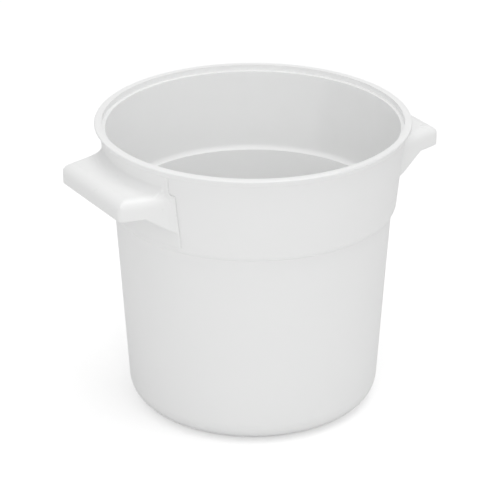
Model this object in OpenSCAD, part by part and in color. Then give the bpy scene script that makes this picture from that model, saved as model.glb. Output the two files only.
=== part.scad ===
// Round dough proofing container with a stepped wall, a lipped rim and two side handles.
// Millimetres, +Z up. The origin is the middle of the base, on the surface it stands on.
// The handles lie on the X axis.

/* [Tub] */
// Height from the table to the top of the rim
tub_h = 250; // [225:1:320]
// Outside radius of the lower wall, carried down to the table
base_r = 105.4; // [95:0.1:110]
// Outside radius of the lower wall where it meets the shoulder
waist_r = 116.6; // [112:0.1:118]
// Height of the crease between the lower wall and the shoulder
waist_z = 174; // [150:1:180]
// Thickness of the side wall
wall_t = 4; // [2.5:0.1:5]
// Rounding of the outside edge around the base
base_edge_r = 20; // [8:1:30]
// Rounding of the inside edge around the floor
floor_edge_r = 17; // [6:1:28]
// Height of the inside floor above the table
floor_z = 4.5; // [3:0.5:10]
// Width of the ring that the tub stands on
foot_w = 10; // [5:1:30]
// Depth of the hollow inside that ring
foot_recess = 1.5; // [0.5:0.1:2]

/* [Band] */
// Outside radius of the upper band just above the shoulder
band_low_r = 120; // [118.5:0.1:122]
// Outside radius of the upper band just under the lip
band_top_r = 126.8; // [124:0.1:128]
// Rounding that carries the band in to the waist
shoulder_r = 6.5; // [5:0.1:9]
// Rounding of the ledge inside the shoulder
ledge_r = 4.5; // [3:0.1:6]

/* [Rim] */
// Outside radius of the rim
rim_r = 132; // [130:0.5:140]
// Height of the lip's outer face
lip_h = 6; // [4:0.5:9]
// How far the lip's face leans in towards its lower edge
lip_lean = 2.5; // [0:0.1:3]
// Rounding of the rim's outer top edge
rim_outer_edge_r = 1.2; // [0.5:0.1:2]
// Rounding of the rim's inner top edge
rim_inner_edge_r = 1.2; // [0.5:0.1:2]

/* [Handles] */
// Depth of a handle's flat top below the rim
handle_drop = 22.5; // [18:0.5:30]
// How far a handle stands out from the band
handle_reach = 30.5; // [26:0.5:45]
// Width of a handle across its front face
nose_w = 96; // [80:1:105]
// Width of a handle where it meets the band
root_w = 118; // [108:1:126]
// Height of a handle's front face, rounding included
nose_h = 17.5; // [14:0.5:22]
// How far the front face leans in towards its lower edge
nose_lean = 0.8; // [0:0.1:1.5]
// Thickness of a handle's top, front and side webs
handle_t = 3; // [2:0.1:4]
// Rounding of a handle's front top edge
nose_edge_r = 10; // [6:0.5:12]
// Rounding of a handle's side top edges
side_edge_r = 8; // [5:0.5:10]
// Rounding of a handle's upright corners
corner_r = 6; // [4.5:0.5:9]
// Length of the level lower edge of a side web, from the front face inwards
web_level = 21.5; // [15:0.5:26]
// Depth of a side web at the band, below the front face's lower edge
web_drop = 15.5; // [8:0.5:24]

/* [Handle pads] */
// Thickness of the curved pad that joins a handle to the band
pad_t = 1.8; // [1:0.1:3]
// How far the pad stands out past each side of the handle
pad_side = 0.6; // [0.3:0.1:2]
// Width of the pad above the handle
pad_upper_w = 110; // [90:1:116]
// Gap between the pad's ends and the lip above and the shoulder below
pad_gap = 0.6; // [0.3:0.1:3]
// Hollow rounding where the handle's top runs up into the pad
root_fillet_r = 8; // [4:0.5:10]

/* [Hidden] */
$fn = 96;

plastic = "#eef0ee";
// Overlap that makes neighbouring volumes of one piece run into each other
bite = 1;
// Half the size of the blocks that the handle is shaped from
block = 110;
// Slight offset that makes a rounding cross the flat face beside it, and not just touch it
ease = 0.05;

lip_z = tub_h - lip_h;
// Slope of the lower wall and of the band, from the upright
lower_slope = atan((waist_r - base_r) / waist_z);
band_rise = (band_top_r - band_low_r) / (lip_z - waist_z);
band_slope = atan(band_rise);

// Outside radius of the upper band at height z
function band_r(z) = band_top_r - (lip_z - z) * band_rise;
// Outside radius of the lower wall at height z
function lower_r(z) = base_r + z * tan(lower_slope);

// Middle of the shoulder's rounding, which touches the band and meets the lower wall at the waist
shoulder_z = waist_z + shoulder_r * sin(acos((waist_r - band_low_r + shoulder_r) / shoulder_r));

// Inside radius of the ring that the tub stands on
foot_inner_r = lower_r(base_edge_r) - base_edge_r / cos(lower_slope) - foot_w;

handle_top_z = tub_h - handle_drop;
nose_x = band_r(handle_top_z) + handle_reach;
nose_z = handle_top_z - nose_h;
root_x = sqrt(pow(band_r(handle_top_z), 2) - pow(root_w / 2, 2));
// Angle by which the handle's sides close in towards the front
side_angle = atan((root_w - nose_w) / 2 / (nose_x - root_x));
// Middle of the rounding of a handle's upright corner
corner_x = nose_x - corner_r;
corner_y = nose_w / 2 + corner_r * tan(side_angle) - corner_r / cos(side_angle);

// Section of the space under a sloping wall line, closed by a rounded bottom corner.
// The line is inset from the lower wall by t, and the bottom lies at height z0.
module lower_section(t, z0, edge_r) {
    mid_z = z0 + edge_r;
    mid_x = lower_r(mid_z) - (edge_r + t) / cos(lower_slope);
    inset = t / cos(lower_slope);
    top_z = shoulder_z + bite;
    polygon([
        [0, z0],
        [mid_x, z0],
        [mid_x, mid_z],
        [mid_x + edge_r * cos(lower_slope), mid_z - edge_r * sin(lower_slope)],
        [lower_r(top_z) - inset, top_z],
        [0, top_z]
    ]);
    translate([mid_x, mid_z]) circle(edge_r);
}

// Section of the space inside the band's line, inset by t, up to height top_z,
// with the rounded corner that carries it in to the waist
module band_section(t, edge_r, top_z) {
    inset = t / cos(band_slope);
    mid_x = band_r(shoulder_z) - inset - edge_r / cos(band_slope);
    polygon([
        [0, shoulder_z],
        [mid_x, shoulder_z],
        [mid_x + edge_r * cos(band_slope), shoulder_z - edge_r * sin(band_slope)],
        [band_r(top_z) - inset, top_z],
        [0, top_z]
    ]);
    translate([mid_x, shoulder_z]) circle(edge_r);
}

// Section of the lip, with its rounded outer top edge
module lip_section() {
    e = rim_outer_edge_r;
    polygon([
        [band_r(lip_z) - bite, lip_z],
        [rim_r - lip_lean, lip_z],
        [rim_r, tub_h - e],
        [rim_r - e, tub_h - e],
        [rim_r - e, tub_h],
        [band_r(lip_z) - bite, tub_h]
    ]);
    translate([rim_r - e, tub_h - e]) circle(e);
}

// Section cut from the rim's inner top edge, to round it
module inner_edge_section() {
    e = rim_inner_edge_r;
    inner_r = band_r(tub_h - e) - wall_t / cos(band_slope);
    difference() {
        translate([inner_r - bite, tub_h - e]) square([e + bite, e + bite]);
        translate([inner_r + e, tub_h - e]) circle(e);
    }
}

module tub() {
    color(plastic)
    rotate_extrude()
    difference() {
        union() {
            lower_section(0, 0, base_edge_r);
            band_section(0, shoulder_r, lip_z + bite);
            lip_section();
        }
        lower_section(wall_t, floor_z, floor_edge_r);
        band_section(wall_t, ledge_r, tub_h + bite);
        inner_edge_section();
        translate([0, -bite]) square([foot_inner_r, foot_recess + bite]);
    }
}

// Solid that fills the band, to cut pieces that seat on it
module band_core() {
    rotate_extrude()
    polygon([
        [0, waist_z],
        [band_r(waist_z), waist_z],
        [band_r(tub_h), tub_h],
        [0, tub_h]
    ]);
}

// Block that reaches up to top_z and back from x = 0, with that long top edge rounded.
// Its face leans in by lean from the rounding down to the height of the nose's lower edge.
module edge_block(top_z, edge_r, lean) {
    bottom_z = nose_z - block / 2;
    face_h = top_z - edge_r - nose_z;
    lean_x = lean * (top_z - edge_r - bottom_z) / face_h;
    rotate([90, 0, 0])
    linear_extrude(height = 2 * block, center = true) {
        polygon([
            [-2 * block, bottom_z],
            [-lean_x, bottom_z],
            [0, top_z - edge_r],
            [-edge_r, top_z - edge_r],
            [-edge_r, top_z],
            [-2 * block, top_z]
        ]);
        translate([-edge_r, top_z - edge_r]) circle(edge_r);
    }
}

// Outline of a handle seen from above, inset by t, with its two front corners rounded.
// Its straight sides lie just outside the handle's flat faces, which the blocks cut.
module handle_plan(t) {
    side_r = corner_r - t + ease;
    touch_x = corner_x + side_r * sin(side_angle);
    touch_y = corner_y + side_r * cos(side_angle);
    back_x = root_x - block / 4;
    back_y = touch_y + (touch_x - back_x) * tan(side_angle);
    polygon([
        [back_x, -back_y],
        [touch_x, -touch_y],
        [corner_x, -corner_y],
        [corner_x + side_r, -corner_y],
        [corner_x + side_r, corner_y],
        [corner_x, corner_y],
        [touch_x, touch_y],
        [back_x, back_y]
    ]);
    for (side = [-1, 1]) translate([corner_x, side * corner_y]) circle(side_r + ease);
}

// Closed form of a handle, inset by t on its top, front and sides
module handle_form(t) {
    intersection() {
        translate([nose_x - t, 0, 0]) edge_block(handle_top_z - t, nose_edge_r - t, nose_lean);
        intersection_for (side = [0, 1])
            mirror([0, side, 0])
            translate([nose_x, nose_w / 2, 0])
            rotate([0, 0, 90 - side_angle])
            translate([-t, 0, 0])
            edge_block(handle_top_z - t, side_edge_r - t, 0);
        translate([0, 0, nose_z - block / 2]) linear_extrude(height = block) handle_plan(t);
    }
}

// Space kept above the lower edges of the front face and the two side webs
module above_web_edges() {
    web_x = nose_x - web_level;
    web_z = nose_z - web_drop;
    fall = web_drop / (web_x - root_x);
    back_x = root_x - block / 4;
    rotate([90, 0, 0])
    linear_extrude(height = 2 * block, center = true)
    polygon([
        [back_x, web_z - (root_x - back_x) * fall],
        [web_x, nose_z],
        [nose_x + bite, nose_z],
        [nose_x + bite, tub_h],
        [back_x, tub_h]
    ]);
}

// Curved plate over the band between two heights, of the given width
module pad_plate(low_z, high_z, width) {
    intersection() {
        rotate_extrude()
        polygon([
            [band_r(low_z) - bite, low_z],
            [band_r(low_z) + pad_t, low_z],
            [band_r(high_z) + pad_t, high_z],
            [band_r(high_z) - bite, high_z]
        ]);
        translate([0, -width / 2, 0]) cube([2 * block, width, tub_h]);
    }
}

// Hollow rounding between a handle's top and its pad
module root_fillet() {
    f = root_fillet_r;
    start_r = band_r(handle_top_z) + pad_t;
    width = root_w - 2 * side_edge_r;
    depth = handle_t / 2;
    intersection() {
        rotate_extrude()
        difference() {
            translate([start_r - pad_t, handle_top_z - depth]) square([f + pad_t, f + depth]);
            translate([start_r + f, handle_top_z + f - ease]) circle(f);
        }
        translate([0, -width / 2, 0]) cube([2 * block, width, tub_h]);
    }
}

// One handle on the +X side: a shell open underneath, on a pad that seats on the band
module handle() {
    difference() {
        union() {
            difference() {
                intersection() {
                    handle_form(0);
                    above_web_edges();
                }
                handle_form(handle_t);
            }
            pad_plate(shoulder_z + pad_gap, handle_top_z, root_w + 2 * pad_side);
            pad_plate(handle_top_z - bite, lip_z - pad_gap, pad_upper_w);
            root_fillet();
        }
        band_core();
    }
}

module handle_left() {
    color(plastic) rotate([0, 0, 180]) handle();
}

module handle_right() {
    color(plastic) handle();
}

tub();
handle_left();
handle_right();
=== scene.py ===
"""A round dough proofing container in natural polyethylene, on a pale floor in soft light."""
import math

import bpy
from mathutils import Euler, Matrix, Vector


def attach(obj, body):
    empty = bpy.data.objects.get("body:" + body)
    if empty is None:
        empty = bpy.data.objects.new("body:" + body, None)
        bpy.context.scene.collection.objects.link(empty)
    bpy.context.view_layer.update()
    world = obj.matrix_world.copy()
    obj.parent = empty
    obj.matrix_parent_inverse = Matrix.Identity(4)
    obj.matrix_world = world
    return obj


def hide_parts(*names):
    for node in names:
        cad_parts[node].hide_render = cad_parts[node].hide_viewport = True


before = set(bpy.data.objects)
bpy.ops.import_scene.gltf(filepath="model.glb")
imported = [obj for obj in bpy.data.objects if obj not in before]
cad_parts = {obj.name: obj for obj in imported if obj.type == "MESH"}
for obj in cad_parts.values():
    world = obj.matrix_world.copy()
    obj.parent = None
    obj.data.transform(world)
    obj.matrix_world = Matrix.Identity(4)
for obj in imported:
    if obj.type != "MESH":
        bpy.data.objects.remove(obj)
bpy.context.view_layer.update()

WHITE = (1.0, 1.0, 1.0, 1.0)

# Camera: where it stands around the tub, how high, and how long its lens is
CAMERA_AZIMUTH = math.radians(-32.0)
CAMERA_DISTANCE = 2.0032
CAMERA_HEIGHT = 1.0598
CAMERA_PITCH = 0.4346
CAMERA_YAW = 0.0013
SENSOR_WIDTH = 36.0
LENS = 187.2

# Polyethylene: its two close tones, and how far light of each colour spreads in it
PLASTIC_COLOUR = (0.945, 0.948, 0.945, 1.0)
PLASTIC_CLOUD_COLOUR = (0.935, 0.938, 0.935, 1.0)
PLASTIC_IOR = 1.51
LIGHT_SPREAD = 0.006
EVEN_SPREAD = (1.0, 1.0, 1.0)

# Noise patterns in the plastic: scale, detail and roughness of each
CLOUDS = (14.0, 3.0, 0.55)
WEAR = (60.0, 4.0, 0.6)
WAVES = (22.0, 1.0, 0.4)
GRAIN = (1800.0, 2.0, 0.5)
# The middle of a noise pattern's range, which holds most of its values
NOISE_LOW = 0.3
NOISE_HIGH = 0.7
# Relief of the moulding waves and of the grain: height in metres, and strength
WAVES_RELIEF = (0.0006, 0.25)
GRAIN_RELIEF = (0.00004, 0.5)

# Satin finish: the lowest and highest roughness, and the share of light that spreads inside
TUB_SATIN = (0.34, 0.42)
TUB_LIGHT_SHARE = 0.25
HANDLE_SATIN = (0.27, 0.33)
HANDLE_LIGHT_SHARE = 0.0

# Sockets of a Mix node for colours, which go by number because their names repeat
MIX_FACTOR = 0
MIX_FIRST = 6
MIX_SECOND = 7
MIX_RESULT = 2

# Floor and surround: both are lifted to white for the camera alone, with no more light on the tub
FLOOR_COLOUR = (0.86, 0.86, 0.86, 1.0)
FLOOR_SIZE = 12.0
FLOOR_CELLS = 8
FLOOR_LIFT = 0.35
WORLD_LIGHT = 0.63
WORLD_SEEN = 1.0

# Lamps: where each one stands, the length of its sides and its power in watts
LAMP_TARGET = (0.0, 0.0, 0.12)
LAMPS = {
    "overhead": {"place": (0.1, -0.3, 2.2), "size": 1.6, "watts": 13.0},
    "front": {"place": (-1.2, -1.9, 1.1), "size": 0.9, "watts": 7.0},
}

# Handles: the grid that their moulded skin is rebuilt on, and how far its edges are softened
SKIN_GRID = 0.0007
SOFTENING_FACTOR = 0.5
SOFTENING_STEPS = 8

# The band that the handles seat on: its radius and height at the lip and at the waist below it
BAND_TOP_R = 0.1268
BAND_LOW_R = 0.120
LIP_Z = 0.244
WAIST_Z = 0.174
BAND_RISE = (BAND_TOP_R - BAND_LOW_R) / (LIP_Z - WAIST_Z)
# The pad's thickness, the depth within which a point is on its hidden side, and that side's gap
PAD_T = 0.0018
PAD_BACK = PAD_T / 2
SEAT_GAP = 0.00003
# How much thinner the pad is made, and how far out from the band that fades away
PAD_FEATHER = 0.0010
FEATHER_REACH = 0.006


def new_material(name):
    """A node material with an empty tree, apart from its output."""
    material = bpy.data.materials.new(name)
    material.use_nodes = True
    tree = material.node_tree
    tree.nodes.clear()
    output = tree.nodes.new("ShaderNodeOutputMaterial")
    return material, tree, output


def noise(tree, coordinates, pattern):
    """A noise pattern, given as its scale, detail and roughness."""
    scale, detail, roughness = pattern
    node = tree.nodes.new("ShaderNodeTexNoise")
    node.inputs["Scale"].default_value = scale
    node.inputs["Detail"].default_value = detail
    node.inputs["Roughness"].default_value = roughness
    tree.links.new(coordinates, node.inputs["Vector"])
    return node.outputs["Fac"]


def remap(tree, value, low, high):
    """A noise pattern's middle range, spread over low to high."""
    node = tree.nodes.new("ShaderNodeMapRange")
    node.inputs["From Min"].default_value = NOISE_LOW
    node.inputs["From Max"].default_value = NOISE_HIGH
    node.inputs["To Min"].default_value = low
    node.inputs["To Max"].default_value = high
    tree.links.new(value, node.inputs["Value"])
    return node.outputs["Result"]


def bump(tree, height, relief, normal=None):
    """A relief, given as its height and strength, laid over the normal of another one."""
    distance, strength = relief
    node = tree.nodes.new("ShaderNodeBump")
    node.inputs["Distance"].default_value = distance
    node.inputs["Strength"].default_value = strength
    tree.links.new(height, node.inputs["Height"])
    if normal is not None:
        tree.links.new(normal, node.inputs["Normal"])
    return node.outputs["Normal"]


def polyethylene(name, satin, light_share):
    """Natural polyethylene: cloudy, slightly see-through and satin, with a fine grain and soft waves."""
    material, tree, output = new_material(name)
    shader = tree.nodes.new("ShaderNodeBsdfPrincipled")
    tree.links.new(shader.outputs["BSDF"], output.inputs["Surface"])
    coordinates = tree.nodes.new("ShaderNodeTexCoord").outputs["Object"]

    clouds = noise(tree, coordinates, CLOUDS)
    colour = tree.nodes.new("ShaderNodeMix")
    colour.data_type = "RGBA"
    colour.inputs[MIX_FIRST].default_value = PLASTIC_CLOUD_COLOUR
    colour.inputs[MIX_SECOND].default_value = PLASTIC_COLOUR
    tree.links.new(remap(tree, clouds, 0.0, 1.0), colour.inputs[MIX_FACTOR])
    tree.links.new(colour.outputs[MIX_RESULT], shader.inputs["Base Color"])

    wear = noise(tree, coordinates, WEAR)
    tree.links.new(remap(tree, wear, *satin), shader.inputs["Roughness"])

    waves = bump(tree, noise(tree, coordinates, WAVES), WAVES_RELIEF)
    grain = bump(tree, noise(tree, coordinates, GRAIN), GRAIN_RELIEF, waves)
    tree.links.new(grain, shader.inputs["Normal"])

    shader.inputs["IOR"].default_value = PLASTIC_IOR
    shader.inputs["Subsurface Weight"].default_value = light_share
    shader.inputs["Subsurface Radius"].default_value = EVEN_SPREAD
    shader.inputs["Subsurface Scale"].default_value = LIGHT_SPREAD
    return material


def dress(node_name, material):
    """Gives a CAD node its material, as its only one."""
    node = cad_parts[node_name]
    node.data.materials.clear()
    node.data.materials.append(material)


def seat_on_band(mesh):
    """Lays the pad's hidden side just off the band's cone, and feathers the pad to a thin skin."""
    for vertex in mesh.vertices:
        band_r = BAND_TOP_R - (LIP_Z - vertex.co.z) * BAND_RISE
        reach = math.hypot(vertex.co.x, vertex.co.y)
        proud = reach - band_r
        if proud < PAD_BACK:
            proud = SEAT_GAP
        elif proud < PAD_T:
            proud -= PAD_FEATHER * proud / PAD_T
        elif proud < FEATHER_REACH:
            proud -= PAD_FEATHER * (FEATHER_REACH - proud) / (FEATHER_REACH - PAD_T)
        stretch = (band_r + proud) / reach
        vertex.co.x *= stretch
        vertex.co.y *= stretch


def moulded_handle(node_name, material):
    """A handle with the soft edges of a moulding, in place of its CAD node."""
    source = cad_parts[node_name]
    handle = bpy.data.objects.new(node_name + "_moulded", source.data.copy())
    bpy.context.scene.collection.objects.link(handle)
    grid = handle.modifiers.new("skin", "REMESH")
    grid.mode = "VOXEL"
    grid.voxel_size = SKIN_GRID
    grid.use_smooth_shade = True
    soften = handle.modifiers.new("soften", "SMOOTH")
    soften.factor = SOFTENING_FACTOR
    soften.iterations = SOFTENING_STEPS
    bpy.context.view_layer.update()
    shape = bpy.data.meshes.new_from_object(handle.evaluated_get(bpy.context.evaluated_depsgraph_get()))
    handle.modifiers.clear()
    handle.data = shape
    seat_on_band(shape)
    shape.materials.clear()
    shape.materials.append(material)
    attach(handle, "root")
    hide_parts(node_name)


def make_floor():
    """A pale floor that is white for the camera and keeps the tub's shadow."""
    bpy.ops.mesh.primitive_grid_add(
        x_subdivisions=FLOOR_CELLS,
        y_subdivisions=FLOOR_CELLS,
        size=FLOOR_SIZE,
    )
    floor = bpy.context.object
    floor.name = "floor"
    material, tree, output = new_material("floor_white")
    matt = tree.nodes.new("ShaderNodeBsdfDiffuse")
    matt.inputs["Color"].default_value = FLOOR_COLOUR
    glow = tree.nodes.new("ShaderNodeEmission")
    glow.inputs["Color"].default_value = WHITE
    path = tree.nodes.new("ShaderNodeLightPath")
    lift = tree.nodes.new("ShaderNodeMath")
    lift.operation = "MULTIPLY"
    lift.inputs[1].default_value = FLOOR_LIFT
    tree.links.new(path.outputs["Is Camera Ray"], lift.inputs[0])
    tree.links.new(lift.outputs["Value"], glow.inputs["Strength"])
    both = tree.nodes.new("ShaderNodeAddShader")
    tree.links.new(matt.outputs["BSDF"], both.inputs[0])
    tree.links.new(glow.outputs["Emission"], both.inputs[1])
    tree.links.new(both.outputs["Shader"], output.inputs["Surface"])
    floor.data.materials.append(material)


def make_world():
    """A surround that is white for the camera, and dimmer as light and in reflections."""
    world = bpy.data.worlds.new("studio")
    bpy.context.scene.world = world
    world.use_nodes = True
    tree = world.node_tree
    tree.nodes.clear()
    output = tree.nodes.new("ShaderNodeOutputWorld")
    light = tree.nodes.new("ShaderNodeBackground")
    light.inputs["Strength"].default_value = WORLD_LIGHT
    seen = tree.nodes.new("ShaderNodeBackground")
    seen.inputs["Strength"].default_value = WORLD_SEEN
    for background in (light, seen):
        background.inputs["Color"].default_value = WHITE
    path = tree.nodes.new("ShaderNodeLightPath")
    mix = tree.nodes.new("ShaderNodeMixShader")
    tree.links.new(path.outputs["Is Camera Ray"], mix.inputs["Fac"])
    tree.links.new(light.outputs["Background"], mix.inputs[1])
    tree.links.new(seen.outputs["Background"], mix.inputs[2])
    tree.links.new(mix.outputs["Shader"], output.inputs["Surface"])


def softbox(name, place, size, watts):
    """A square area lamp at place, turned to the tub."""
    lamp = bpy.data.lights.new(name, "AREA")
    lamp.shape = "SQUARE"
    lamp.size = size
    lamp.energy = watts
    holder = bpy.data.objects.new(name, lamp)
    bpy.context.scene.collection.objects.link(holder)
    holder.location = place
    holder.rotation_mode = "QUATERNION"
    holder.rotation_quaternion = (Vector(LAMP_TARGET) - Vector(place)).to_track_quat("-Z", "Y")


def make_camera():
    """The camera at the photograph's viewing angle, looking down on the tub from the front left."""
    data = bpy.data.cameras.new("camera")
    data.sensor_width = SENSOR_WIDTH
    data.lens = LENS
    camera = bpy.data.objects.new("camera", data)
    bpy.context.scene.collection.objects.link(camera)
    camera.location = (
        math.sin(CAMERA_AZIMUTH) * CAMERA_DISTANCE,
        -math.cos(CAMERA_AZIMUTH) * CAMERA_DISTANCE,
        CAMERA_HEIGHT,
    )
    camera.rotation_euler = Euler((math.pi / 2 - CAMERA_PITCH, 0.0, CAMERA_AZIMUTH + CAMERA_YAW))
    bpy.context.scene.camera = camera


make_camera()
make_world()
for lamp_name, lamp_facts in LAMPS.items():
    softbox(lamp_name, **lamp_facts)
make_floor()
dress("tub", polyethylene("tub_polyethylene", TUB_SATIN, TUB_LIGHT_SHARE))
handle_plastic = polyethylene("handle_polyethylene", HANDLE_SATIN, HANDLE_LIGHT_SHARE)
for handle_node in ("handle_left", "handle_right"):
    moulded_handle(handle_node, handle_plastic)

bpy.context.scene.view_settings.view_transform = "Standard"
